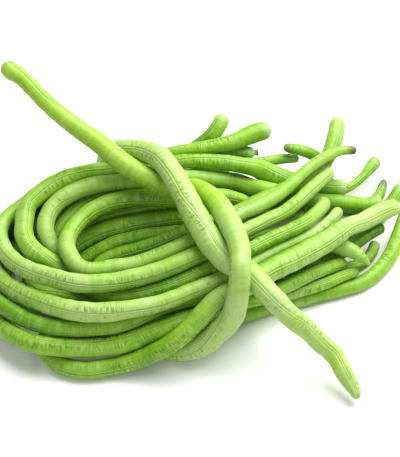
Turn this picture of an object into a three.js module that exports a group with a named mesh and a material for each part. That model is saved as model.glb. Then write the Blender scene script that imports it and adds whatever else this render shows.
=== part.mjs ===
// Yardlong bean bunch: twelve long pods, folded once and laid together, tied round the middle with
// one more pod. Millimetres, +Z up. The bunch lies on the table, z = 0, with its folds towards -X
// and its free ends towards +X.

import * as THREE from 'three';

// Driving dimensions of a pod's solid.
const FACETS = 10;
const FACET_ANGLE = (2 * Math.PI) / FACETS;
const RING_SPACING = 16;
const RING_TURN = THREE.MathUtils.degToRad(27);
const LEVEL_TURN = THREE.MathUtils.degToRad(8);
const STEM_CAP = 0.8;
const TIP_CAP = 1.3;
const CAP_STATIONS = [0.12, 0.45, 1.0];

// How the pods lie against each other and on the table.
const SKIN_GAP = 0.45;
const TABLE_DENT = 0.35;
const LINK = 5;
const SETTLE_PASSES = 420;
const FINISH_PASSES = 60;
const PAIR_REFRESH = 15;
const PAIR_REACH = 6;
const SPREAD = 0.45;
const FINISH_SPREAD = 0.12;
const HOLD_ACROSS = 0.03;
const HOLD_DEPTH = 0.004;

// Routes are drawn on a plane tilted up from the table by this angle. A route point is [across,
// climb, height]: mm along +X, mm up the tilted plane, and mm of the pod's centre line above the
// table.
const TILT = THREE.MathUtils.degToRad(50);
const DEPTH_AXIS = new THREE.Vector3(0, Math.cos(TILT), -Math.sin(TILT));
const UP = new THREE.Vector3(0, 0, 1);

const BEAN_GREEN = 0xa9d65f;
const TIE_GREEN = 0xb4de72;

// Each girth point is [share of the pod's length, radius]. Girths and routes run from the stem end
// to the tip.
const BEANS = {
  bean_01: {
    girth: [
      [0, 4.4], [0.03, 4.5], [0.07, 4], [0.12, 3.8], [0.2, 4], [0.35, 4.8], [0.52, 5.3], [0.62, 5.4],
      [0.7, 4.6], [0.84, 4], [1, 3.2],
    ],
    route: [
      [13, 62, 44], [11, 57, 42], [7, 51, 38], [1, 46, 31], [-8, 41, 26], [-18, 37, 22], [-33, 31, 20],
      [-44, 28, 18], [-55, 25, 14], [-70, 25, 15], [-86, 18, 15], [-100, 8, 15], [-111, -2, 14],
      [-115, -12, 14], [-113, -21, 14], [-107, -29, 17], [-96, -35, 22], [-82, -40, 27], [-66, -44, 30],
      [-50, -45, 31], [-35, -43, 33], [-28, -42, 33], [-15, -38, 35], [-5, -34, 36], [3, -31, 37],
      [10, -28, 37], [17, -25, 37], [30, -17, 36], [45, -9, 34], [61, -2, 32], [69, 3, 31], [73, 7, 31],
      [76, 11, 31],
    ],
  },
  bean_02: {
    girth: [
      [0, 5.3], [0.03, 5.5], [0.065, 4.2], [0.1, 3.8], [0.3, 4.1], [0.39, 4.3], [0.45, 4.9], [0.55, 5.1],
      [0.72, 5], [0.85, 4.1], [0.95, 3.8], [1, 3.4],
    ],
    route: [
      [39, 54, 38], [32, 53, 38], [20, 48, 38], [4, 44, 38], [-11, 41, 36], [-28, 36, 30], [-41, 32, 27],
      [-50, 29, 25], [-66, 26, 20], [-81, 23, 25], [-93, 15, 24], [-101, 9, 23], [-107, 3, 23],
      [-109, -3, 22], [-107, -10, 23], [-100, -18, 25], [-90, -23, 31], [-79, -26, 35], [-66, -29, 37],
      [-50, -29, 37], [-33, -26, 38], [-16, -21, 40], [-3, -15, 41], [11, -8, 40], [24, -1, 40],
      [35, 4, 39], [47, 10, 38], [57, 19, 38], [64, 26, 37], [69, 31, 37], [70, 34, 37],
    ],
  },
  bean_03: {
    girth: [
      [0, 3.5], [0.16, 3.8], [0.35, 4.5], [0.6, 4.7], [0.75, 4.4], [0.85, 3.9], [1, 3.6],
    ],
    route: [
      [32, 42, 27], [25, 42, 27], [18, 43, 27], [6, 41, 27], [-11, 37, 25], [-28, 28, 23], [-41, 24, 20],
      [-55, 20, 15], [-71, 16, 9], [-86, 12, 5], [-99, 3, 5], [-108, -7, 5], [-113, -18, 5],
      [-114, -29, 6], [-110, -39, 10], [-102, -45, 14], [-91, -50, 17], [-77, -53, 20], [-59, -53, 21],
      [-41, -51, 23], [-28, -46, 24], [-19, -42, 25], [-9, -39, 26], [1, -37, 26], [14, -36, 26],
      [27, -38, 25], [43, -33, 21], [55, -28, 18], [67, -23, 15], [75, -20, 12], [80, -19, 11],
    ],
  },
  bean_04: {
    girth: [
      [0, 2.6], [0.015, 3], [0.1, 3.4], [0.33, 4.6], [0.5, 5], [0.7, 5.2], [0.84, 4.2], [1, 2.8],
    ],
    route: [
      [55, 39, 12], [49, 39, 12], [41, 38, 13], [30, 36, 15], [17, 35, 18], [0, 31, 21], [-16, 28, 21],
      [-33, 19, 18], [-47, 14, 16], [-61, 10, 9], [-77, 9, 5], [-90, 2, 5], [-100, -9, 5], [-107, -20, 5],
      [-112, -33, 5], [-111, -42, 7], [-107, -50, 12], [-99, -56, 15], [-87, -61, 16], [-71, -63, 14],
      [-55, -63, 13], [-38, -60, 16], [-28, -56, 17], [-19, -53, 19], [-10, -49, 20], [-2, -46, 20],
      [14, -41, 18], [30, -37, 17], [47, -34, 14], [58, -31, 13], [72, -27, 11], [80, -24, 9],
      [86, -23, 8],
    ],
  },
  bean_05: {
    girth: [
      [0, 4.4], [0.03, 5], [0.07, 5], [0.1, 5.6], [0.14, 6.1], [0.2, 5.8], [0.33, 5.1], [0.5, 4.8],
      [0.65, 4.4], [0.95, 4.3], [1, 3.8],
    ],
    route: [
      [109, 11, 15], [103, 10, 17], [98, 8, 19], [92, 5, 20], [86, 2, 22], [80, 0, 24], [74, -4, 27],
      [65, -9, 30], [55, -14, 33], [45, -19, 35], [36, -23, 37], [28, -28, 37], [15, -34, 37],
      [5, -42, 34], [-7, -54, 26], [-20, -63, 18], [-33, -69, 10], [-47, -73, 6], [-62, -75, 5],
      [-74, -72, 5], [-80, -67, 5], [-83, -62, 5], [-81, -56, 5], [-77, -53, 5], [-63, -52, 5],
      [-50, -52, 5], [-36, -52, 12], [-24, -49, 17], [-8, -49, 16], [2, -50, 12], [14, -49, 7],
      [28, -45, 6], [41, -41, 5], [55, -38, 5], [69, -34, 5], [81, -31, 5], [89, -28, 5], [95, -24, 5],
      [100, -19, 6], [105, -12, 8], [108, -4, 10], [111, 4, 12], [113, 12, 13],
    ],
  },
  bean_06: {
    girth: [
      [0, 4.6], [0.03, 4.8], [0.08, 5.3], [0.115, 5.5], [0.15, 4.5], [0.2, 4], [0.27, 4.4], [0.35, 5],
      [0.55, 5.2], [0.68, 4.4], [0.85, 3.8], [1, 3.6],
    ],
    route: [
      [81, 22, 19], [72, 22, 20], [58, 23, 21], [45, 26, 23], [35, 29, 25], [24, 32, 31], [12, 35, 34],
      [-3, 36, 36], [-19, 35, 34], [-36, 32, 32], [-52, 31, 31], [-65, 29, 30], [-77, 25, 30],
      [-86, 19, 29], [-93, 13, 28], [-95, 4, 27], [-95, -3, 26], [-91, -10, 26], [-84, -15, 25],
      [-77, -19, 22], [-70, -23, 20], [-63, -28, 20], [-55, -32, 21], [-46, -36, 24], [-33, -35, 27],
      [-19, -31, 32], [-5, -25, 35], [9, -19, 37], [18, -15, 39], [26, -12, 40], [37, -7, 38],
      [49, -2, 36], [58, 3, 34], [63, 8, 32], [67, 12, 31], [67, 16, 31],
    ],
  },
  bean_07: {
    girth: [
      [0, 3.9], [0.05, 4.6], [0.12, 4.5], [0.2, 4.8], [0.33, 4.7], [0.5, 4.9], [0.7, 4.6], [0.88, 4.4],
      [0.95, 4.6], [0.98, 3.9], [1, 2.7],
    ],
    route: [
      [100, 15, 12], [91, 13, 13], [80, 14, 17], [67, 15, 18], [55, 17, 22], [44, 20, 23], [35, 22, 24],
      [28, 24, 22], [23, 26, 22], [8, 27, 26], [-5, 28, 30], [-19, 26, 33], [-33, 25, 33], [-50, 25, 32],
      [-61, 23, 32], [-71, 19, 31], [-79, 13, 29], [-83, 6, 27], [-84, -1, 25], [-82, -7, 22],
      [-79, -13, 18], [-74, -18, 15], [-68, -24, 13], [-62, -29, 15], [-55, -29, 19], [-48, -28, 22],
      [-36, -26, 25], [-19, -24, 26], [-3, -22, 26], [14, -19, 25], [30, -18, 23], [47, -14, 21],
      [59, -10, 18], [69, -9, 17], [77, -11, 16], [85, -15, 15], [92, -21, 12],
    ],
  },
  bean_08: {
    girth: [
      [0, 3.4], [0.02, 3.2], [0.05, 2.7], [0.12, 3.6], [0.2, 3.8], [0.35, 4.7], [0.55, 4.8], [0.68, 4.2],
      [0.78, 3.9], [0.86, 3.7], [0.93, 3.3], [1, 2.5],
    ],
    route: [
      [98, 38, 9], [93, 32, 8], [87, 26, 7], [80, 22, 7], [72, 21, 8], [62, 21, 9], [50, 18, 12],
      [45, 14, 11], [39, 15, 13], [33, 15, 17], [27, 14, 20], [19, 17, 25], [3, 18, 30], [-11, 16, 32],
      [-25, 17, 33], [-38, 17, 32], [-50, 14, 30], [-58, 10, 29], [-65, 4, 28], [-70, -3, 27],
      [-72, -10, 27], [-70, -16, 27], [-66, -22, 27], [-59, -24, 29], [-48, -22, 31], [-36, -20, 33],
      [-22, -15, 37], [-8, -9, 41], [6, -3, 43], [19, 6, 44], [30, 11, 43], [41, 17, 42], [51, 25, 41],
      [59, 32, 41], [69, 38, 40], [78, 42, 38], [86, 42, 36],
    ],
  },
  bean_09: {
    girth: [
      [0, 3], [0.16, 3.8], [0.4, 4.2], [0.65, 4.2], [0.84, 3.9], [0.95, 3.4], [1, 2.8],
    ],
    route: [
      [96, -7, 6], [93, -14, 5], [87, -19, 5], [78, -21, 6], [63, -25, 6], [47, -30, 5], [28, -34, 6],
      [14, -35, 9], [0, -35, 14], [-14, -34, 18], [-28, -36, 18], [-41, -37, 17], [-52, -38, 14],
      [-65, -37, 13], [-77, -35, 14], [-86, -34, 13], [-91, -30, 12], [-91, -24, 11], [-87, -18, 11],
      [-83, -11, 12], [-79, -4, 14], [-74, 3, 17], [-68, 9, 18], [-59, 15, 19], [-50, 18, 20],
      [-36, 19, 22], [-19, 20, 24], [-3, 19, 22], [14, 18, 17], [26, 19, 13], [35, 20, 13], [45, 17, 8],
      [50, 14, 5], [63, 12, 4], [77, 12, 4], [89, 12, 4], [97, 16, 6], [100, 21, 7], [102, 27, 8],
    ],
  },
  bean_10: {
    girth: [
      [0, 3.4], [0.08, 3.9], [0.3, 4.2], [0.5, 4.7], [0.65, 5], [0.83, 4.2], [0.93, 3.7], [0.97, 3.4],
      [1, 2.7],
    ],
    route: [
      [100, 1, 12], [92, -3, 14], [83, -9, 14], [72, -15, 14], [58, -21, 15], [41, -23, 14],
      [28, -25, 14], [14, -27, 12], [0, -28, 12], [-14, -30, 14], [-28, -29, 18], [-41, -30, 17],
      [-50, -35, 12], [-59, -38, 7], [-66, -38, 5], [-75, -36, 5], [-80, -30, 5], [-80, -23, 5],
      [-74, -16, 6], [-65, -10, 9], [-55, -5, 11], [-41, -1, 15], [-28, 3, 19], [-11, 6, 22], [0, 8, 22],
      [10, 10, 17], [20, 10, 9], [28, 12, 5], [35, 18, 5], [45, 21, 5], [55, 24, 5], [63, 25, 5],
      [68, 30, 5], [68, 35, 8], [64, 40, 14], [57, 43, 18], [46, 45, 20],
    ],
  },
  bean_11: {
    girth: [
      [0, 4.2], [0.025, 4.8], [0.06, 4.4], [0.12, 3.9], [0.35, 4], [0.6, 4], [0.75, 3.7], [0.88, 3],
      [1, 2.1],
    ],
    route: [
      [76, 61, 38], [75, 54, 37], [73, 46, 35], [70, 39, 33], [66, 33, 32], [60, 28, 32], [53, 24, 32],
      [45, 21, 32], [36, 17, 31], [28, 13, 31], [18, 8, 30], [7, 4, 30], [-7, -1, 28], [-19, -6, 23],
      [-33, -11, 17], [-45, -15, 14], [-53, -19, 12], [-57, -24, 10], [-58, -30, 7], [-63, -34, 5],
      [-69, -33, 5], [-73, -28, 5], [-70, -21, 5], [-64, -16, 6], [-54, -12, 7], [-43, -8, 9],
      [-32, -5, 15], [-19, -3, 19], [-5, -2, 20], [8, -4, 20], [22, -6, 20], [34, -4, 19], [44, -1, 18],
      [51, 3, 17], [55, 8, 16], [58, 13, 15],
    ],
  },
  bean_12: {
    girth: [
      [0, 3.6], [0.2, 3.9], [0.5, 4], [0.8, 3.7], [1, 3.2],
    ],
    route: [
      [112, 24, 8], [108, 18, 7], [102, 10, 5], [94, 4, 5], [83, -1, 5], [69, -5, 5], [55, -7, 7],
      [41, -5, 9], [28, -4, 8], [14, 0, 9], [0, 7, 13], [-15, 13, 19], [-30, 11, 17], [-45, 7, 10],
      [-57, 3, 6], [-66, -2, 5], [-75, -9, 5], [-82, -18, 5], [-87, -26, 5], [-86, -35, 5], [-79, -42, 5],
      [-68, -46, 5], [-55, -47, 5], [-43, -45, 11], [-28, -42, 18], [-11, -41, 17], [3, -39, 16],
    ],
  },
  tie_bean: {
    girth: [
      [0, 5.4], [0.025, 4.5], [0.05, 4.75], [0.08, 5.1], [0.12, 5.8], [0.18, 6.1], [0.24, 6.4],
      [0.31, 5.8], [0.36, 6.4], [0.52, 6.4], [0.66, 5.9], [0.74, 6.2], [0.83, 7], [0.88, 6.1],
      [0.91, 5.8], [0.94, 5.4], [0.955, 5.1], [0.97, 4.9], [0.985, 4.3], [1, 3.3],
    ],
    route: [
      [-107, 90, 72], [-103, 86, 71], [-97, 82, 70], [-90, 75, 68], [-82, 67, 65], [-75, 61, 63],
      [-66, 54, 60], [-53, 45, 56], [-41, 35, 52], [-29, 28, 49], [-19, 23, 47], [-10, 21, 46],
      [-3, 21, 48], [3, 18, 51], [9, 13, 54], [14, 5, 57], [18, -3, 59], [21, -12, 60], [21, -20, 58],
      [21, -26, 53], [20, -32, 46], [18, -40, 37], [15, -47, 28], [9, -54, 20], [2, -61, 13],
      [-7, -64, 8], [-16, -64, 6], [-26, -60, 6], [-34, -50, 6], [-40, -34, 6], [-45, -15, 6],
      [-50, 4, 6], [-53, 19, 8], [-53, 30, 12], [-52, 36, 20], [-50, 40, 31], [-45, 42, 41],
      [-37, 42, 49], [-29, 41, 54], [-21, 37, 58], [-15, 29, 59], [-10, 21, 60], [-3, 8, 58], [4, -4, 54],
      [12, -15, 49], [19, -21, 47], [26, -26, 46], [39, -38, 41], [48, -47, 35], [56, -53, 29],
      [64, -61, 22], [71, -67, 16], [75, -74, 13], [79, -81, 9], [82, -86, 7], [83, -90, 6],
    ],
  },
};

function routePoint([across, climb, height]) {
  const y = (climb - height * Math.cos(TILT)) / Math.sin(TILT);
  return new THREE.Vector3(across, y, height);
}

function smoothRise(value) {
  return THREE.MathUtils.smoothstep(value, 0, 1);
}

// Radius of a pod's body without its rounded ends, at a share of its length from the stem end.
function bodyRadius({ girth }, share) {
  const place = Math.min(share, 1);
  const next = Math.max(girth.findIndex(([mark]) => mark >= place), 1);
  const [startShare, startRadius] = girth[next - 1];
  const [endShare, endRadius] = girth[next];
  const rise = smoothRise((place - startShare) / (endShare - startShare));
  return THREE.MathUtils.lerp(startRadius, endRadius, rise);
}

function roundedEnd(distance, capLength) {
  const share = THREE.MathUtils.clamp(distance / capLength, 0, 1);
  return Math.sqrt(1 - (1 - share) ** 2);
}

// Lengths over which a pod's two ends are rounded off.
function capLengths({ girth }) {
  return { stemCap: STEM_CAP * girth[0][1], tipCap: TIP_CAP * girth.at(-1)[1] };
}

function podRadius(bean, distance, length) {
  const { stemCap, tipCap } = capLengths(bean);
  const ends = roundedEnd(distance, stemCap) * roundedEnd(length - distance, tipCap);
  return bodyRadius(bean, distance / length) * ends;
}

// A strand is a pod's centre line as evenly spaced links, each with its home place and its shift
// from there.
function makeStrand(bean) {
  const curve = new THREE.CatmullRomCurve3(bean.route.map(routePoint), false, 'centripetal');
  const length = curve.getLength();
  const links = Math.round(length / LINK);
  curve.arcLengthDivisions = links * 4;
  curve.updateArcLengths();
  const home = curve.getSpacedPoints(links);
  return {
    bean,
    home,
    shift: home.map(() => new THREE.Vector3()),
    place: home.map((point) => point.clone()),
    radius: home.map((point, index) => bodyRadius(bean, index / links)),
  };
}

// Shares of the two segments at which they come closest.
function closestShares(startA, endA, startB, endB) {
  const alongA = endA.clone().sub(startA);
  const alongB = endB.clone().sub(startB);
  const between = startA.clone().sub(startB);
  const lengthA = alongA.lengthSq();
  const lengthB = alongB.lengthSq();
  const facing = alongA.dot(alongB);
  const offsetA = alongA.dot(between);
  const offsetB = alongB.dot(between);
  const spread = lengthA * lengthB - facing * facing;
  const clamp = THREE.MathUtils.clamp;
  let shareA = spread > 1e-9 ? clamp((facing * offsetB - offsetA * lengthB) / spread, 0, 1) : 0.5;
  const shareB = clamp((facing * shareA + offsetB) / lengthB, 0, 1);
  shareA = clamp((facing * shareB - offsetA) / lengthA, 0, 1);
  return [shareA, shareB];
}

// Links of two strands, or far apart along one, that may touch within the next few passes.
function nearbyPairs(strands) {
  const pairs = [];
  strands.forEach((first, firstIndex) => {
    strands.slice(firstIndex).forEach((second) => {
      for (let a = 0; a + 1 < first.place.length; a += 1) {
        const reach = first.radius[a] + PAIR_REACH + LINK;
        const from = first === second ? a + Math.ceil((4 * first.radius[a]) / LINK) : 0;
        for (let b = from; b + 1 < second.place.length; b += 1) {
          const limit = reach + second.radius[b];
          if (first.place[a].distanceToSquared(second.place[b]) < limit * limit) {
            pairs.push([first, a, second, b]);
          }
        }
      }
    });
  });
  return pairs;
}

function nudge(strand, link, share, push) {
  strand.shift[link].addScaledVector(push, 1 - share);
  strand.place[link].addScaledVector(push, 1 - share);
  strand.shift[link + 1].addScaledVector(push, share);
  strand.place[link + 1].addScaledVector(push, share);
}

function pushApart(pairs) {
  for (const [first, a, second, b] of pairs) {
    const [shareA, shareB] = closestShares(
      first.place[a], first.place[a + 1], second.place[b], second.place[b + 1],
    );
    const pointA = first.place[a].clone().lerp(first.place[a + 1], shareA);
    const pointB = second.place[b].clone().lerp(second.place[b + 1], shareB);
    const apart = pointA.sub(pointB);
    const distance = apart.length();
    const wanted = first.radius[a] + second.radius[b] + SKIN_GAP;
    if (distance < wanted) {
      const push = apart.multiplyScalar((0.5 * (wanted - distance)) / distance);
      nudge(first, a, shareA, push);
      nudge(second, b, shareB, push.negate());
    }
  }
}

// Each pod keeps its own bends: only the shifts from home are smoothed along it.
function spreadShifts(strand, amount) {
  const { shift } = strand;
  const last = shift.length - 1;
  const before = shift.map((vector) => vector.clone());
  shift.forEach((vector, index) => {
    const average = before[Math.max(index - 1, 0)].clone().add(before[Math.min(index + 1, last)]);
    vector.lerp(average.multiplyScalar(0.5), amount);
  });
}

function holdNearHome(strand) {
  for (const vector of strand.shift) {
    const depth = DEPTH_AXIS.clone().multiplyScalar(vector.dot(DEPTH_AXIS));
    vector.sub(depth).multiplyScalar(1 - HOLD_ACROSS);
    vector.addScaledVector(depth, 1 - HOLD_DEPTH);
  }
}

function restOnTable(strand) {
  strand.place.forEach((point, index) => {
    point.copy(strand.home[index]).add(strand.shift[index]);
    const lowest = strand.radius[index] * Math.cos(Math.PI / FACETS) - TABLE_DENT;
    if (point.z < lowest) {
      strand.shift[index].z += lowest - point.z;
      point.z = lowest;
    }
  });
}

function settle(strands) {
  let pairs = [];
  for (let pass = 0; pass < SETTLE_PASSES + FINISH_PASSES; pass += 1) {
    const finishing = pass >= SETTLE_PASSES;
    if (pass % PAIR_REFRESH === 0) pairs = nearbyPairs(strands);
    if (!finishing) strands.forEach(holdNearHome);
    strands.forEach((strand) => spreadShifts(strand, finishing ? FINISH_SPREAD : SPREAD));
    strands.forEach(restOnTable);
    pushApart(pairs);
  }
  strands.forEach(restOnTable);
}

// Distances of the rings from the stem end: closer together where the pod bends, with a few on each
// rounded end.
function ringStations(bean, curve, length) {
  const { stemCap, tipCap } = capLengths(bean);
  const steps = Math.round(length);
  const demand = [0];
  let tangent = curve.getTangentAt(0);
  for (let step = 1; step <= steps; step += 1) {
    const next = curve.getTangentAt(step / steps);
    demand.push(demand[step - 1] + length / steps / RING_SPACING + tangent.angleTo(next) / RING_TURN);
    tangent = next;
  }
  const first = Math.ceil((stemCap * steps) / length);
  const last = steps - Math.ceil((tipCap * steps) / length);
  const rings = Math.ceil(demand[last] - demand[first]);
  const stations = CAP_STATIONS.map((share) => share * stemCap);
  let step = first;
  for (let ring = 1; ring < rings; ring += 1) {
    const wanted = demand[first] + ((demand[last] - demand[first]) * ring) / rings;
    while (demand[step] < wanted) step += 1;
    stations.push((step * length) / steps);
  }
  const tipStations = CAP_STATIONS.map((share) => length - share * tipCap);
  return [...stations, ...tipStations.reverse()];
}

// Turns a ring's side direction a little, where the pod runs level, until one of its flat sides
// faces straight down.
function levelFacet(side, tangent) {
  const level = new THREE.Vector3().crossVectors(tangent, UP);
  const levelness = level.length();
  level.normalize();
  const sine = new THREE.Vector3().crossVectors(side, level).dot(tangent);
  const lean = Math.atan2(sine, side.dot(level));
  const turn = lean - FACET_ANGLE * Math.round(lean / FACET_ANGLE);
  const allowed = LEVEL_TURN * smoothRise(2 * levelness - 1);
  side.applyAxisAngle(tangent, THREE.MathUtils.clamp(turn, -allowed, allowed));
}

function podGeometry(bean, curve) {
  const length = curve.getLength();
  const stations = ringStations(bean, curve, length);
  const vertices = [...curve.getPointAt(0)];
  const side = new THREE.Vector3().crossVectors(curve.getTangentAt(0), UP).normalize();
  for (const station of stations) {
    const centre = curve.getPointAt(station / length);
    const tangent = curve.getTangentAt(station / length);
    side.addScaledVector(tangent, -side.dot(tangent)).normalize();
    levelFacet(side, tangent);
    const radius = podRadius(bean, station, length);
    for (let corner = 0; corner < FACETS; corner += 1) {
      const angle = FACET_ANGLE * (corner + 0.5) - Math.PI / 2;
      const arm = side.clone().applyAxisAngle(tangent, angle).multiplyScalar(radius);
      const point = arm.add(centre);
      vertices.push(point.x, point.y, Math.max(point.z, 0));
    }
  }
  vertices.push(...curve.getPointAt(1));

  const faces = [];
  const rings = stations.length;
  const lastVertex = rings * FACETS + 1;
  for (let corner = 0; corner < FACETS; corner += 1) {
    const next = (corner + 1) % FACETS;
    faces.push(0, 1 + next, 1 + corner);
    for (let ring = 0; ring + 1 < rings; ring += 1) {
      const here = 1 + ring * FACETS;
      const ahead = here + FACETS;
      faces.push(here + corner, here + next, ahead + next);
      faces.push(here + corner, ahead + next, ahead + corner);
    }
    const end = lastVertex - FACETS;
    faces.push(end + corner, end + next, lastVertex);
  }

  const geometry = new THREE.BufferGeometry();
  geometry.setAttribute('position', new THREE.Float32BufferAttribute(vertices, 3));
  geometry.setIndex(faces);
  geometry.computeVertexNormals();
  return geometry;
}

function makePod(name, strand) {
  const color = name === 'tie_bean' ? TIE_GREEN : BEAN_GREEN;
  const material = new THREE.MeshStandardMaterial({ color, roughness: 0.45, metalness: 0 });
  const curve = new THREE.CatmullRomCurve3(strand.place, false, 'centripetal');
  curve.arcLengthDivisions = strand.place.length * 4;
  const pod = new THREE.Mesh(podGeometry(strand.bean, curve), material);
  pod.name = name;
  return pod;
}

const strands = Object.values(BEANS).map(makeStrand);
settle(strands);

const bunch = new THREE.Group();
Object.keys(BEANS).forEach((name, index) => bunch.add(makePod(name, strands[index])));

// The origin is under the middle of the bunch, on the table.
const middle = new THREE.Box3().setFromObject(bunch).getCenter(new THREE.Vector3());
bunch.position.set(-middle.x, -middle.y, 0);

export default bunch;
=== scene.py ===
"""Yardlong bean bunch: long pods folded over and laid together, tied round the middle with a thicker pod.

Each pod of the frame is followed ring by ring, and a Geometry Nodes tree sweeps the real skin along it:
seeds that swell the flanks, a double seam, a back seam and fine cross wrinkles. Metres, in the frame's own
axes.
"""

import math

import bmesh
import bpy
import numpy as np
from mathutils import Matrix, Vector


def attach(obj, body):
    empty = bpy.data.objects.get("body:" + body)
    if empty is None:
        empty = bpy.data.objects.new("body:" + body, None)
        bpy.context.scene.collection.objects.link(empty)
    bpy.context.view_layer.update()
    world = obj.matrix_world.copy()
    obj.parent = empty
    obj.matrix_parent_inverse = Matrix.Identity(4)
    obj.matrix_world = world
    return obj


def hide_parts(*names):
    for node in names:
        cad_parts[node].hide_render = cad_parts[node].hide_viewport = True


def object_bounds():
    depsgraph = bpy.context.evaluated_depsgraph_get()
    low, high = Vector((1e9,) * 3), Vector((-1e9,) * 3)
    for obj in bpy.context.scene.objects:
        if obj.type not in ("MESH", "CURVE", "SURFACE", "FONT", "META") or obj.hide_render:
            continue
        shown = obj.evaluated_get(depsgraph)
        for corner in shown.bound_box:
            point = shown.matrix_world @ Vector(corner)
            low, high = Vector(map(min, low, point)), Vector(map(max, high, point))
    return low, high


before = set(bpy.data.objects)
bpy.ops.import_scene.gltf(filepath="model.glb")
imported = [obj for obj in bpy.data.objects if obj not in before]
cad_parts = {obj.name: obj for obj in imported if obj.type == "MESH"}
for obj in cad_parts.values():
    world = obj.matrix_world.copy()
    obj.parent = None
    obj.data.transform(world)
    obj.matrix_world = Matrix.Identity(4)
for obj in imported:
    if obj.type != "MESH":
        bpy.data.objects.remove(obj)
cad_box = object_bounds()

MM = 0.001
UP = np.array([0.0, 0.0, 1.0])

# How finely a pod is swept.
SIDES = 48
TIE_SIDES = 56
RING_STEP = 0.42 * MM
TIE_RING_STEP = 0.5 * MM
END_STEP = 0.12 * MM
END_REACH = 6 * MM
WELD = 0.002 * MM
CORNER_GATHER = 0.32

# A frame's solid ends in a pole with more edges than any other corner, and a cap of this many rings.
POLE_EDGES = 9
CAP_RINGS = 3

# Skin relief shared by every pod.
SEED_SPACING = 12.5 * MM
SEED_DRIFT_SCALE = 22.0
SEED_SWELL = 0.05
SEEDLESS_STEM = (8 * MM, 30 * MM)
SEEDLESS_TIP = (6 * MM, 26 * MM)
UNEVENNESS = 0.03
UNEVENNESS_SCALE = 34.0
SECTION_SQUASH = 0.02
SEAM_DEPTH = 0.30 * MM
TIE_SEAM_DEPTH = 0.32 * MM
SEAM_SPREAD = 0.62 * MM
TIE_SEAM_SPREAD = 0.75 * MM
SEAM_WIDTH = 0.30 * MM
BACK_SEAM_WIDTH = 1.3
BACK_SEAM_DEPTH = 0.7
SEAM_WANDER = 4
SEAM_WANDER_LENGTH = 55 * MM
SEAM_LEVELLING = 0.03
WRINKLE_DEPTH = 0.21 * MM
WRINKLE_SCALE = (190.0, 190.0, 900.0)
WRINKLE_EDGE = (0.50, 0.68)
WRINKLES_OUTSIDE_BAND = 0.22
WRINKLE_BAND = (0.9 * MM, 1.5 * MM, 3.4 * MM, 5.6 * MM)
PATCH_SCALE = (110.0, 110.0, 42.0)
PATCH_EDGE = (0.40, 0.62)
SEED_STEP = 0.37

# Patterns of the skin's colour, as noise scales in the pod's own space: across, across and along.
TONE_SCALE = 26.0
STREAK_SCALE = (1500.0, 1500.0, 26.0)
BAR_SCALE = (70.0, 70.0, 330.0)
# The next scale sets the painted shade marks of the wrinkle hollows.
MARK_SCALE = (240.0, 240.0, 1450.0)
# The next scale sets how the seams' painted groove shade and pale rib fade along the pod.
SEAM_FADE_SCALE = 30.0
RAGGED_SCALE = 420.0
RAGGED_DEPTH = 5 * MM

# Relief too fine for the mesh.
GRAIN_SCALE = 2600.0
LINE_SCALE = (2100.0, 2100.0, 90.0)
RIPPLE_SCALE = (260.0, 260.0, 1300.0)
BUMP_HEIGHT = 0.14 * MM

# Widths of the seam's painted groove shade and pale rib, and how far from each end its pale, scarred or dried
# skin reaches.
GROOVE_LINE = 0.22 * MM
RIB_LINE = 0.34 * MM
BACK_LINE = 0.24 * MM
PALE_REACH = (9 * MM, 1 * MM)
SCAR_REACH = (2.2 * MM, 0.2 * MM)
DRY_REACH = (9 * MM, 1.5 * MM)

# How the skin and the flesh under it take the light.
SKIN_ROUGHNESS = (0.38, 0.54)
SKIN_SPECULAR = 0.6
SKIN_IOR = 1.45
FLESH_GLOW = 0.08
FLESH_TINT = (0.6, 1.0, 0.2)
FLESH_DEPTH = 1.6 * MM

# The skin's colours.
# In order: painted shade for the wrinkle hollows and seam grooves, deep, middle and light skin, and the pale
# stem end.
POD_GREENS = ("285600", "4C8600", "88B622", "AECB7A", "D2E2B0")
TIE_GREENS = ("386800", "689C00", "98C02C", "B2CC84", "CCDDA8")
SCAR_BROWN = "8A6238"
DRY_BROWN = "6A4248"

# End shapes: (distance from the very end, radius), both as shares of the pod's own radius there.
END_SHAPES = {
    "cut": [(0, 0), (0.001, 0.34), (0.10, 0.40), (0.13, 0.52), (0.26, 0.76), (0.5, 0.93), (0.9, 1.0)],
    "stub": [
        (0, 0), (0.001, 0.46), (0.10, 0.50), (0.55, 0.44), (0.72, 0.55), (0.9, 0.78), (1.3, 0.95), (1.8, 1.0),
    ],
    "flared": [
        (0, 0), (0.001, 0.6), (0.12, 0.88), (0.4, 1.06), (1.2, 1.08), (3.5, 0.84), (5.5, 0.84), (8, 1.0),
    ],
    "blunt": [(0, 0), (0.02, 0.22), (0.15, 0.46), (0.5, 0.68), (1.1, 0.84), (2.2, 0.96), (3.4, 1.0)],
    "round": [(0, 0), (0.02, 0.20), (0.12, 0.42), (0.35, 0.72), (0.7, 0.92), (1.2, 1.0)],
    "pointed": [(0, 0), (0.02, 0.16), (0.3, 0.30), (0.8, 0.52), (1.6, 0.78), (2.6, 0.95), (3.6, 1.0)],
}
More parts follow.
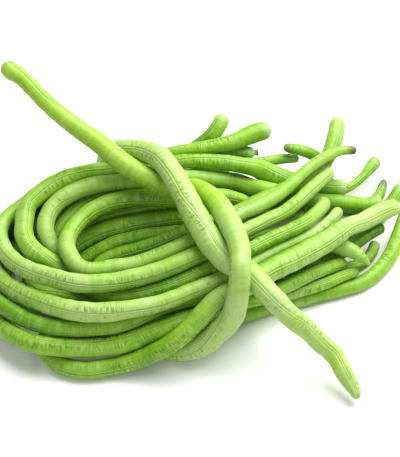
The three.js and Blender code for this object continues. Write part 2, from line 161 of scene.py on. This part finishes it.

# For each pod: its end shapes, and what its stem end and tip have of pale skin, brown scar and dried skin.
# Its seam is a list of (distance from the stem end in mm, degrees up from level), and its tone, from deep
# green at 0 to pale at 1, is a list of (distance from the stem end in mm, tone). The tone is partly the pod's
# own green and partly painted shade, deeper where a pod lies shaded under others.
PODS = {
    "bean_01": {
        "ends": ("cut", "round"),
        "stem": (0.35, 0.2),
        "tip_brown": 0.1,
        "seam": [(0, 60), (200, 45), (258, 38), (292, 24), (317, 18), (415, 16)],
        "tone_and_painted_shade": [(0, 0.6), (100, 0.6), (250, 0.85), (415, 0.8)],
    },
    "bean_02": {
        "ends": ("cut", "round"),
        "stem": (0.5, 0.5),
        "tip_brown": 0.1,
        "seam": [(0, 60), (150, 42), (200, 48), (240, 40), (285, 17), (320, 14), (351, 30), (407, 32)],
        "tone_and_painted_shade": [(0, 0.3), (120, 0.5), (220, 0.85), (407, 0.75)],
    },
    "bean_03": {
        "ends": ("stub", "round"),
        "stem": (0.4, 1.0),
        "tip_brown": 0.1,
        "seam": [(0, 80), (180, 40), (250, -5), (431, 0)],
        "tone_and_painted_shade": [(0, 0.6), (280, 0.2), (431, 0.6)],
    },
    "bean_04": {
        "ends": ("cut", "round"),
        "stem": (0.5, 0.3),
        "tip_brown": 0.2,
        "seam": [(0, 60), (280, 76), (345, 76), (452, 80)],
        "tone_and_painted_shade": [(0, 0.5), (452, 0.5)],
    },
    "bean_05": {
        "ends": ("cut", "round"),
        "stem": (0.2, 0.1),
        "tip_brown": 0.1,
        "seam": [(0, 132), (35, 130), (60, 141), (85, 141), (100, 136), (155, 165), (200, 160), (489, 130)],
        "tone_and_painted_shade": [(0, 0.8), (110, 0.7), (180, 0.5), (489, 0.6)],
    },
    "bean_06": {
        "ends": ("cut", "round"),
        "stem": (0.6, 0.9),
        "tip_brown": 0.1,
        "seam": [
            (0, 112), (35, 112), (55, 94), (80, 94), (100, 108), (140, 112), (160, 100), (200, 112),
            (232, 67), (413, 60),
        ],
        "tone_and_painted_shade": [(0, 0.3), (130, 0.35), (200, 0.65), (300, 0.25), (413, 0.7)],
    },
    "bean_07": {
        "ends": ("cut", "pointed"),
        "stem": (0.4, 0.3),
        "tip_brown": 0.1,
        "seam": [(0, 235), (140, 230), (195, 150), (205, 156), (240, 160), (410, 150)],
        "tone_and_painted_shade": [(0, 0.3), (120, 0.6), (200, 0.9), (410, 0.6)],
    },
    "bean_08": {
        "ends": ("flared", "round"),
        "stem": (0.2, 0.6),
        "tip_brown": 1.0,
        "seam": [(0, 120), (151, 170), (170, 156), (190, 148), (405, 150)],
        "tone_and_painted_shade": [(0, 0.55), (150, 0.5), (260, 0.9), (405, 0.65)],
    },
    "bean_09": {
        "ends": ("cut", "blunt"),
        "stem": (0.3, 0.2),
        "tip_brown": 0.8,
        "seam": [(0, 100), (450, 110)],
        "tone_and_painted_shade": [(0, 0.4), (450, 0.5)],
    },
    "bean_10": {
        "ends": ("cut", "round"),
        "stem": (0.0, 0.2),
        "tip_brown": 0.5,
        "seam": [(0, 90), (200, 60), (260, 28), (290, 25), (420, 40)],
        "tone_and_painted_shade": [(0, 0.1), (200, 0.4), (270, 0.35), (420, 0.5)],
    },
    "bean_11": {
        "ends": ("round", "pointed"),
        "stem": (0.3, 0.5),
        "tip_brown": 0.1,
        "seam": [(0, 118), (100, 130), (130, 143), (167, 158), (220, 130), (353, 118)],
        "tone_and_painted_shade": [(0, 0.75), (100, 0.45), (353, 0.5)],
    },
    "bean_12": {
        "ends": ("cut", "round"),
        "stem": (0.3, 0.2),
        "tip_brown": 0.1,
        "seam": [(0, 110), (352, 110)],
        "tone_and_painted_shade": [(0, 0.4), (352, 0.4)],
    },
    "tie_bean": {
        "ends": ("round", "blunt"),
        "stem": (0.1, 0.6),
        "tip_brown": 0.1,
        "seam": [
            (0, -70), (19, -82), (30, -90), (49, -54), (100, -20), (209, 29), (232, 39), (247, 69),
            (268, 105), (476, 125), (500, 138), (514, 138), (536, 178), (550, 168), (571, 146), (590, 149),
            (606, 177), (662, 173),
        ],
        "tone_and_painted_shade": [(0, 0.55), (60, 0.5), (120, 0.6), (190, 0.9), (560, 0.95), (662, 0.75)],
    },
}


# ---------------------------------------------------------------------------------------------- centre lines


def pod_rings(node):
    """Centres and radii of a pod's rings, from its stem end, where the solid's cap is flatter, to its tip."""
    solid = bmesh.new()
    solid.from_mesh(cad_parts[node].data)
    bmesh.ops.remove_doubles(solid, verts=solid.verts, dist=WELD)
    pole = next(v for v in solid.verts if len(v.link_edges) >= POLE_EDGES)
    seen = {pole}
    ring = {pole}
    centres, radii = [], []
    while ring:
        corners = np.array([v.co for v in ring])
        centres.append(corners.mean(axis=0))
        radii.append(np.linalg.norm(corners - centres[-1], axis=1).mean())
        ring = {e.other_vert(v) for v in ring for e in v.link_edges} - seen
        seen |= ring
    solid.free()
    centres, radii = np.array(centres), np.array(radii)
    first_cap = np.linalg.norm(centres[CAP_RINGS] - centres[0]) / radii[CAP_RINGS]
    last_cap = np.linalg.norm(centres[-1 - CAP_RINGS] - centres[-1]) / radii[-1 - CAP_RINGS]
    if first_cap > last_cap:
        centres, radii = centres[::-1], radii[::-1]
    return centres, radii


def hermite_line(points, values, wanted):
    """Points of a smooth curve through given points, at the wanted distances along them."""
    gaps = np.diff(values)
    slopes = np.diff(points, axis=0) / gaps[:, None]
    inner = (slopes[:-1] * gaps[1:, None] + slopes[1:] * gaps[:-1, None]) / (gaps[:-1] + gaps[1:])[:, None]
    tangents = np.vstack([slopes[0], inner, slopes[-1]])
    piece = np.clip(np.searchsorted(values, wanted, side="right") - 1, 0, len(gaps) - 1)
    t = ((wanted - values[piece]) / gaps[piece])[:, None]
    span = gaps[piece][:, None]
    start, end = points[piece], points[piece + 1]
    return (
        (2 * t**3 - 3 * t**2 + 1) * start
        + (t**3 - 2 * t**2 + t) * span * tangents[piece]
        + (3 * t**2 - 2 * t**3) * end
        + (t**3 - t**2) * span * tangents[piece + 1]
    )


def pod_stations(length, step):
    """Distances of the swept rings: close together on both ends, evenly spaced between them."""
    ends = np.arange(0, END_REACH, END_STEP)
    middle = np.linspace(END_REACH, length - END_REACH, round((length - 2 * END_REACH) / step))
    return np.concatenate([ends, middle, (length - ends)[::-1]])


def unit(vectors):
    """The same directions, one long."""
    return vectors / np.linalg.norm(vectors, axis=-1, keepdims=True)


def side_vectors(tangents, seam, levelled):
    """Directions square to the pod that carry its double seam, turned as little as possible along it."""
    side = unit(np.cross(tangents[0], UP))
    sides = []
    for tangent in tangents:
        side = unit(side - tangent * np.dot(side, tangent))
        if levelled:
            level = unit(np.cross(tangent, UP))
            side = unit(side * (1 - SEAM_LEVELLING) + level * SEAM_LEVELLING)
        sides.append(side)
    sides = np.array(sides)
    lifts = np.cross(sides, tangents)
    return sides * np.cos(seam)[:, None] + lifts * np.sin(seam)[:, None]


def end_share(shape, distance, radius):
    """How far an end's shape narrows the pod at each distance from that end."""
    profile = np.array(END_SHAPES[shape])
    return np.interp(distance / radius, profile[:, 0], profile[:, 1])


def pod_guide(node):
    """A line of points down the middle of a pod, each with what the sweep needs there."""
    look = PODS[node]
    rings, radii = pod_rings(node)
    travelled = np.concatenate([[0], np.cumsum(np.linalg.norm(np.diff(rings, axis=0), axis=1))])
    stations = pod_stations(travelled[-1], TIE_RING_STEP if node == "tie_bean" else RING_STEP)
    spine = hermite_line(rings, travelled, stations)
    from_stem = np.concatenate([[0], np.cumsum(np.linalg.norm(np.diff(spine, axis=0), axis=1))])
    from_tip = from_stem[-1] - from_stem
    body = np.interp(stations, travelled[CAP_RINGS:-CAP_RINGS], radii[CAP_RINGS:-CAP_RINGS])
    tangents = unit(np.gradient(spine, axis=0))
    wander = SEAM_WANDER * np.sin(from_stem / SEAM_WANDER_LENGTH + len(PODS) * body[0] / MM)
    seam = np.radians(np.interp(from_stem / MM, *zip(*look["seam"])) + wander)
    sides = side_vectors(tangents, seam, node != "tie_bean")
    lifts = np.cross(sides, tangents)
    stem_shape, tip_shape = look["ends"]
    share = end_share(stem_shape, from_stem, body[0]) * end_share(tip_shape, from_tip, body[-1])

    mesh = bpy.data.meshes.new(node + "_guide")
    count = len(spine)
    mesh.from_pydata(spine.tolist(), [(i, i + 1) for i in range(count - 1)], [])
    for name, values in (("pod_side", sides), ("pod_lift", lifts)):
        mesh.attributes.new(name, "FLOAT_VECTOR", "POINT").data.foreach_set("vector", values.ravel())
    numbers = {"body_radius": body, "end_share": share, "from_stem": from_stem, "from_tip": from_tip}
    numbers["tone_and_painted_shade"] = np.interp(from_stem / MM, *zip(*look["tone_and_painted_shade"]))
    numbers["stem_pale"] = np.full(count, look["stem"][0])
    numbers["stem_brown"] = np.full(count, look["stem"][1])
    numbers["tip_brown"] = np.full(count, look["tip_brown"])
    for name, values in numbers.items():
        mesh.attributes.new(name, "FLOAT", "POINT").data.foreach_set("value", values)
    return mesh


# --------------------------------------------------------------------------------------------- node building


class Nodes:
    """Adds nodes to a tree. An input is given as a value or as another node's output."""

    def __init__(self, tree):
        self.tree = tree

    def add(self, kind, inputs=(), output=0, **settings):
        node = self.tree.nodes.new(kind)
        for name, value in settings.items():
            setattr(node, name, value)
        for socket, value in dict(inputs).items():
            self.feed(node.inputs[socket], value)
        return node.outputs[output]

    def feed(self, socket, value):
        if isinstance(value, bpy.types.NodeSocket):
            self.tree.links.new(value, socket)
        else:
            socket.default_value = value

    def math(self, operation, *values):
        return self.add("ShaderNodeMath", enumerate(values), operation=operation)

    def vector(self, operation, *values):
        return self.add("ShaderNodeVectorMath", enumerate(values), operation=operation)

    def scaled(self, vector, factor):
        return self.add("ShaderNodeVectorMath", {"Vector": vector, "Scale": factor}, operation="SCALE")

    def total(self, first, *rest):
        for value in rest:
            first = self.math("ADD", first, value)
        return first

    def product(self, first, *rest):
        for value in rest:
            first = self.math("MULTIPLY", first, value)
        return first

    def ramp(self, value, low, high, start=0.0, end=1.0):
        sockets = {"Value": value, "From Min": low, "From Max": high, "To Min": start, "To Max": end}
        return self.add("ShaderNodeMapRange", sockets, interpolation_type="SMOOTHSTEP")

    def noise(self, vector, scale, detail=2.0, roughness=0.5):
        sockets = {"Vector": vector, "Scale": scale, "Detail": detail, "Roughness": roughness}
        return self.add("ShaderNodeTexNoise", sockets)

    def band(self, value, start, full, fading, end):
        """1 between full and fading, and 0 before start and past end."""
        return self.product(self.ramp(value, start, full), self.ramp(value, end, fading))

    def bell(self, value, width):
        """1 where value is 0, falling to nothing a few widths away."""
        share = self.math("DIVIDE", value, width)
        return self.math("EXPONENT", self.product(share, share, -1.0))


# --------------------------------------------------------------------------------------------- the pod sweep


SWEEP_INPUTS = {
    "Sides": ("NodeSocketInt", SIDES),
    "Section squash": ("NodeSocketFloat", SECTION_SQUASH),
    "Seed spacing": ("NodeSocketFloat", SEED_SPACING),
    "Seed swell": ("NodeSocketFloat", SEED_SWELL),
    "Unevenness": ("NodeSocketFloat", UNEVENNESS),
    "Seam depth": ("NodeSocketFloat", SEAM_DEPTH),
    "Seam spread": ("NodeSocketFloat", SEAM_SPREAD),
    "Seam width": ("NodeSocketFloat", SEAM_WIDTH),
    "Wrinkle depth": ("NodeSocketFloat", WRINKLE_DEPTH),
    "Seed": ("NodeSocketFloat", 0.0),
    "Lowest corner": ("NodeSocketVector", tuple(cad_box[0])),
    "Highest corner": ("NodeSocketVector", tuple(cad_box[1])),
    "Skin": ("NodeSocketMaterial", None),
}


def pod_sweep_tree():
    """The Geometry Nodes tree that turns a pod's guide line into its closed skin."""
    tree = bpy.data.node_groups.new("pod_sweep", "GeometryNodeTree")
    tree.interface.new_socket("Guide", in_out="INPUT", socket_type="NodeSocketGeometry")
    for name, (kind, value) in SWEEP_INPUTS.items():
        socket = tree.interface.new_socket(name, in_out="INPUT", socket_type=kind)
        if value is not None:
            socket.default_value = value
    tree.interface.new_socket("Pod", in_out="OUTPUT", socket_type="NodeSocketGeometry")
    n = Nodes(tree)
    given = tree.nodes.new("NodeGroupInput").outputs

    def named(name, kind="FLOAT"):
        return n.add("GeometryNodeInputNamedAttribute", {"Name": name}, data_type=kind)

    # Angle round the pod from the double seam, with the corners gathered at the two seams.
    circle = n.add("GeometryNodeCurvePrimitiveCircle", {"Resolution": given["Sides"], "Radius": MM})
    share = n.add("GeometryNodeSplineParameter")
    gather = n.product(n.math("SINE", n.product(share, 4 * math.pi)), -CORNER_GATHER)
    angle = n.total(n.product(share, 2 * math.pi), gather)
    keep_angle = tree.nodes.new("GeometryNodeCaptureAttribute")
    keep_angle.capture_items.new("FLOAT", "angle")
    tree.links.new(circle, keep_angle.inputs["Geometry"])
    tree.links.new(angle, keep_angle.inputs["angle"])
    keep_spine = tree.nodes.new("GeometryNodeCaptureAttribute")
    keep_spine.capture_items.new("VECTOR", "spine")
    line = n.add("GeometryNodeMeshToCurve", {"Mesh": given["Guide"]})
    tree.links.new(line, keep_spine.inputs["Geometry"])
    tree.links.new(n.add("GeometryNodeInputPosition"), keep_spine.inputs["spine"])
    sockets = {"Curve": keep_spine.outputs["Geometry"], "Profile Curve": keep_angle.outputs["Geometry"]}
    tube = n.add("GeometryNodeCurveToMesh", {**sockets, "Fill Caps": True})
    angle = keep_angle.outputs["angle"]
    spine = keep_spine.outputs["spine"]

    body = named("body_radius")
    ends = named("end_share")
    along = named("from_stem")
    from_tip = named("from_tip")
    cosine = n.math("COSINE", angle)
    sine = n.math("SINE", angle)

    # The pod's own space: across, across and along, in metres. It has no seam where the angle starts again.
    flat = {"X": n.product(cosine, body), "Y": n.product(sine, body), "Z": n.total(along, given["Seed"])}
    pod_space = n.add("ShaderNodeCombineXYZ", flat)
    along_only = n.add("ShaderNodeCombineXYZ", {"X": n.total(along, given["Seed"])})

    # Distances round the skin from the double seam and from the back seam.
    turned = n.math("PINGPONG", angle, math.pi)
    seam_gap = n.product(turned, body)
    back_gap = n.product(n.math("SUBTRACT", math.pi, turned), body)

    # Seeds swell the two flanks one after another, at a slightly uneven spacing.
    drift = n.product(n.noise(along_only, SEED_DRIFT_SCALE, 1.0), given["Seed spacing"], 3.0)
    phase = n.math("DIVIDE", n.product(n.total(along, drift), 2 * math.pi), given["Seed spacing"])
    bump = n.math("MULTIPLY_ADD", n.math("COSINE", phase), 0.5, 0.5)
    clear_of_ends = n.product(n.ramp(along, *SEEDLESS_STEM), n.ramp(from_tip, *SEEDLESS_TIP))
    flank = n.product(sine, sine)
    seeds = n.product(n.math("SUBTRACT", bump, 0.6), flank, clear_of_ends, given["Seed swell"])
    slow = n.noise(pod_space, UNEVENNESS_SCALE, 2.0)
    uneven = n.product(n.math("SUBTRACT", slow, 0.5), given["Unevenness"], 2.0)
    squash = n.product(n.math("COSINE", n.product(angle, 2.0)), given["Section squash"], -1.0)
    radius = n.product(body, ends, n.total(1.0, seeds, uneven, squash))

    # Two grooves side by side, with a rib between them, and one groove at the back.
    off_groove = n.math("SUBTRACT", seam_gap, given["Seam spread"])
    double = n.bell(off_groove, given["Seam width"])
    single = n.product(n.bell(back_gap, n.product(given["Seam width"], BACK_SEAM_WIDTH)), BACK_SEAM_DEPTH)
    grooves = n.product(n.total(double, single), given["Seam depth"], ends)

    # Short wrinkles across the pod, gathered in a band on each side of the double seam, in patches.
    stretched = n.vector("MULTIPLY", pod_space, WRINKLE_SCALE)
    fine = n.ramp(n.noise(stretched, 1.0, 1.0, 0.5), *WRINKLE_EDGE)
    in_band = n.band(seam_gap, *WRINKLE_BAND)
    patches = n.ramp(n.noise(n.vector("MULTIPLY", pod_space, PATCH_SCALE), 1.0, 1.0), *PATCH_EDGE)
    share = n.total(n.product(in_band, patches), WRINKLES_OUTSIDE_BAND)
    wrinkles = n.product(fine, share, given["Wrinkle depth"], ends)

    skin = n.math("SUBTRACT", n.math("SUBTRACT", radius, grooves), wrinkles)
    skin = n.math("MAXIMUM", skin, 0.0)
    arm = n.vector(
        "ADD",
        n.scaled(named("pod_side", "FLOAT_VECTOR"), n.product(cosine, skin)),
        n.scaled(named("pod_lift", "FLOAT_VECTOR"), n.product(sine, skin)),
    )

    # The skin is kept inside the box of the frame's solids.
    place = n.vector("MAXIMUM", n.vector("ADD", spine, arm), given["Lowest corner"])
    place = n.vector("MINIMUM", place, given["Highest corner"])
    shape = n.add("GeometryNodeSetPosition", {"Geometry": tube, "Position": place})

    for name, value, kind in (
        ("pod_space", pod_space, "FLOAT_VECTOR"),
        ("seam_gap", seam_gap, "FLOAT"),
        ("back_gap", back_gap, "FLOAT"),
    ):
        sockets = {"Geometry": shape, "Name": name, "Value": value}
        shape = n.add("GeometryNodeStoreNamedAttribute", sockets, data_type=kind, domain="POINT")
    shape = n.add("GeometryNodeMergeByDistance", {"Geometry": shape, "Distance": WELD})

    # The sweep leaves its faces turned inwards.
    shape = n.add("GeometryNodeFlipFaces", {"Mesh": shape})
    shape = n.add("GeometryNodeSetShadeSmooth", {"Geometry": shape})
    shape = n.add("GeometryNodeRealizeInstances", {"Geometry": shape})
    shape = n.add("GeometryNodeSetMaterial", {"Geometry": shape, "Material": given["Skin"]})
    out = tree.nodes.new("NodeGroupOutput")
    tree.links.new(shape, out.inputs["Pod"])
    return tree


def sweep_pod(node, tree, skin, slot, **sizes):
    """One pod's skin as a plain mesh, in place of its solid."""
    guide = bpy.data.objects.new(node + "_guide", pod_guide(node))
    bpy.context.scene.collection.objects.link(guide)
    sweep = guide.modifiers.new("pod sweep", "NODES")
    sweep.node_group = tree
    sockets = {s.name: s.identifier for s in tree.interface.items_tree if s.in_out == "INPUT"}
    sweep[sockets["Skin"]] = skin
    sweep[sockets["Seed"]] = SEED_STEP * sorted(PODS).index(node)
    for name, value in sizes.items():
        sweep[sockets[name.replace("_", " ").capitalize()]] = value
    bpy.context.view_layer.update()
    evaluated = guide.evaluated_get(bpy.context.evaluated_depsgraph_get())
    mesh = bpy.data.meshes.new_from_object(evaluated)
    mesh.name = node + "_skin"
    pod = bpy.data.objects.new(node + "_pod", mesh)
    bpy.context.scene.collection.objects.link(pod)
    bpy.data.objects.remove(guide)
    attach(pod, "root")
    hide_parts(node)
    return pod


# ------------------------------------------------------------------------------------------------------ skin


def rgb(code):
    """A linear colour from its six-digit code."""
    parts = [int(code[i : i + 2], 16) / 255 for i in (0, 2, 4)]
    return (*[c / 12.92 if c <= 0.04045 else ((c + 0.055) / 1.055) ** 2.4 for c in parts], 1.0)


def skin_material(name, greens, back_shade_strength):
    """The skin of a pod, with the painted shade in its back seam groove as strong as asked."""
    painted_crease_shade, deep, middle, light, pale_end = (rgb(code) for code in greens)
    material = bpy.data.materials.new(name)
    material.use_nodes = True
    tree = material.node_tree
    tree.nodes.clear()
    n = Nodes(tree)

    def attribute(name, output="Fac"):
        return n.add("ShaderNodeAttribute", output=output, attribute_name=name)

    def mix(factor, first, second):
        sockets = {0: factor, 6: first, 7: second}
        return n.add("ShaderNodeMix", sockets, output=2, data_type="RGBA")

    pod_space = attribute("pod_space", "Vector")
    place = n.add("ShaderNodeTexCoord", output="Object")
    tone_and_painted_shade = attribute("tone_and_painted_shade")
    from_stem = attribute("from_stem")
    from_tip = attribute("from_tip")

    # Slow changes of green over the bunch and along each pod. The tone along a pod is partly painted shade.
    slow = n.noise(place, TONE_SCALE, 3.0, 0.6)
    drift = n.total(n.product(n.math("SUBTRACT", slow, 0.5), 1.3), tone_and_painted_shade)
    green = mix(n.ramp(drift, -0.1, 0.55), deep, middle)
    green = mix(n.ramp(drift, 0.45, 1.15), green, light)

    # Fine streaks along the pod, and soft bars across it.
    streaks = n.noise(n.vector("MULTIPLY", pod_space, STREAK_SCALE), 1.0, 3.0, 0.6)
    green = mix(n.product(n.ramp(streaks, 0.42, 0.75), 0.22), green, light)
    green = mix(n.product(n.ramp(streaks, 0.55, 0.25), 0.25), green, deep)
    bars = n.noise(n.vector("MULTIPLY", pod_space, BAR_SCALE), 1.0, 3.0, 0.6)
    green = mix(n.product(n.ramp(bars, 0.48, 0.70), 0.30), green, light)
    green = mix(n.product(n.ramp(bars, 0.46, 0.28), 0.30), green, deep)

    # Painted shade darkens the wrinkle hollows, and the skin beside them is made lighter.
    seam_gap = attribute("seam_gap")
    marks = n.noise(n.vector("MULTIPLY", pod_space, MARK_SCALE), 1.0, 1.0, 0.5)
    patches = n.ramp(n.noise(n.vector("MULTIPLY", pod_space, PATCH_SCALE), 1.0, 1.0), *PATCH_EDGE)
    share = n.total(n.product(n.band(seam_gap, *WRINKLE_BAND), patches, 0.42), 0.08)
    green = mix(n.product(n.ramp(marks, 0.48, 0.66), share), green, painted_crease_shade)
    green = mix(n.product(n.ramp(marks, 0.48, 0.34), share, 0.6), green, light)

    # The seams: painted shade in two grooves, one darker than the other, with a pale rib between them, fading
    # along the pod, and painted shade in the back groove.
    strength = n.ramp(n.noise(pod_space, SEAM_FADE_SCALE, 1.0), 0.30, 0.60, 0.45, 1.0)
    side = n.add("ShaderNodeSeparateXYZ", {"Vector": pod_space}, output=1)
    groove = n.bell(n.math("SUBTRACT", seam_gap, SEAM_SPREAD), GROOVE_LINE)
    groove = n.product(groove, n.ramp(side, -0.2 * MM, 0.2 * MM, 0.16, 0.70))
    rib = n.bell(seam_gap, RIB_LINE)
    back = n.bell(attribute("back_gap"), BACK_LINE)
    green = mix(n.product(groove, strength), green, painted_crease_shade)
    green = mix(n.product(back, back_shade_strength), green, painted_crease_shade)
    green = mix(n.product(rib, strength, 0.40), green, light)

    # Pale towards the stem, with a brown scar on the cut, and browned at the tip.
    ragged = n.product(n.math("SUBTRACT", n.noise(pod_space, RAGGED_SCALE, 3.0), 0.5), RAGGED_DEPTH)
    stem_edge = n.total(from_stem, ragged)
    tip_edge = n.total(from_tip, ragged)
    pale = n.product(n.ramp(stem_edge, *PALE_REACH), attribute("stem_pale"))
    colour = mix(n.product(pale, 0.85), green, pale_end)
    scar = n.product(n.ramp(stem_edge, *SCAR_REACH), attribute("stem_brown"))
    colour = mix(scar, colour, rgb(SCAR_BROWN))
    dry = n.product(n.ramp(tip_edge, *DRY_REACH), attribute("tip_brown"))
    colour = mix(n.product(dry, 0.85), colour, rgb(DRY_BROWN))

    # Grain, lines along the pod and ripples across it.
    grain = n.noise(pod_space, GRAIN_SCALE, 2.0, 0.6)
    lines = n.noise(n.vector("MULTIPLY", pod_space, LINE_SCALE), 1.0, 2.0)
    ripples = n.noise(n.vector("MULTIPLY", pod_space, RIPPLE_SCALE), 1.0, 2.0)
    height = n.total(n.product(grain, 0.15), n.product(lines, 0.45), n.product(ripples, 0.55))
    bump = n.add("ShaderNodeBump", {"Strength": 0.55, "Distance": BUMP_HEIGHT, "Height": height})

    roughness = n.ramp(n.total(n.product(slow, 0.5), n.product(streaks, 0.5)), 0.3, 0.7, *SKIN_ROUGHNESS)
    sockets = {
        "Base Color": colour,
        "Roughness": roughness,
        "Normal": bump,
        "Specular IOR Level": SKIN_SPECULAR,
        "Subsurface Weight": FLESH_GLOW,
        "Subsurface Radius": FLESH_TINT,
        "Subsurface Scale": FLESH_DEPTH,
        "IOR": SKIN_IOR,
    }
    surface = n.add("ShaderNodeBsdfPrincipled", sockets)
    out = tree.nodes.new("ShaderNodeOutputMaterial")
    tree.links.new(surface, out.inputs["Surface"])
    return material


# ------------------------------------------------------------------------------------------- table and light


TABLE_REACH = 3.0
TABLE_WHITE = (0.93, 0.93, 0.93, 1)
TABLE_ROUGHNESS = 0.6
ROOM_LIGHT = 0.30
LIT_POINT = Vector((0, 0, 0.02))

# Each soft light: its place and the side of its square in metres, and its power in watts.
SOFT_LIGHTS = {
    "overhead softbox": ((0.40, 0.44, 0.95), 1.2, 22.5),
    "front fill": ((-0.3, -1.0, 0.8), 0.9, 3),
}


def plain_material(name, colour, roughness):
    material = bpy.data.materials.new(name)
    material.use_nodes = True
    surface = material.node_tree.nodes["Principled BSDF"]
    surface.inputs["Base Color"].default_value = colour
    surface.inputs["Roughness"].default_value = roughness
    return material


def make_table():
    mesh = bpy.data.meshes.new("table_top")
    corners = [(x * TABLE_REACH, y * TABLE_REACH, 0) for x, y in ((-1, -1), (1, -1), (1, 1), (-1, 1))]
    mesh.from_pydata(corners, [], [(0, 1, 2, 3)])
    mesh.materials.append(plain_material("white table", TABLE_WHITE, TABLE_ROUGHNESS))
    table = bpy.data.objects.new("table_top", mesh)
    bpy.context.scene.collection.objects.link(table)


def soft_light(name, place, size, power):
    data = bpy.data.lights.new(name, "AREA")
    data.shape = "SQUARE"
    data.size = size
    data.energy = power
    lamp = bpy.data.objects.new(name, data)
    lamp.location = place
    lamp.rotation_euler = (LIT_POINT - Vector(place)).to_track_quat("-Z", "Y").to_euler()
    bpy.context.scene.collection.objects.link(lamp)


def light_scene():
    world = bpy.data.worlds.new("soft room")
    world.use_nodes = True
    room = world.node_tree.nodes["Background"].inputs
    room["Color"].default_value = (1, 1, 1, 1)
    room["Strength"].default_value = ROOM_LIGHT
    bpy.context.scene.world = world
    for name, (place, size, power) in SOFT_LIGHTS.items():
        soft_light(name, place, size, power)
    bpy.context.scene.view_settings.view_transform = "Standard"
    bpy.context.scene.view_settings.look = "Medium High Contrast"


# The view looks across the middle of the folds' heap, from in front and above.
VIEW_ELEVATION = math.radians(50)
VIEW_CENTRE = Vector((2.97 * MM, 32.06 * MM, 0))
VIEW_HEIGHT = 251.4 * MM
VIEW_LENS = 300
VIEW_SENSOR = 36
VIEW_END = 20


def make_camera():
    data = bpy.data.cameras.new("view")
    data.lens = VIEW_LENS
    data.sensor_width = VIEW_SENSOR
    data.clip_end = VIEW_END
    camera = bpy.data.objects.new("view", data)
    distance = VIEW_HEIGHT * VIEW_LENS / VIEW_SENSOR
    back = Vector((0, -math.cos(VIEW_ELEVATION), math.sin(VIEW_ELEVATION)))
    camera.location = VIEW_CENTRE + back * distance
    camera.rotation_euler = (math.pi / 2 - VIEW_ELEVATION, 0, 0)
    bpy.context.scene.collection.objects.link(camera)
    bpy.context.scene.camera = camera


# ------------------------------------------------------------------------------------------------- the bunch


sweep = pod_sweep_tree()
pod_skin = skin_material("pod skin", POD_GREENS, 0.3)
tie_skin = skin_material("tie skin", TIE_GREENS, 0.9)
tie_sizes = {"sides": TIE_SIDES, "seam_spread": TIE_SEAM_SPREAD, "seam_depth": TIE_SEAM_DEPTH}
for node in sorted(PODS):
    if node == "tie_bean":
        sweep_pod(node, sweep, tie_skin, "tie_skin", **tie_sizes)
    else:
        sweep_pod(node, sweep, pod_skin, "pod_skin")
make_table()
light_scene()
make_camera()
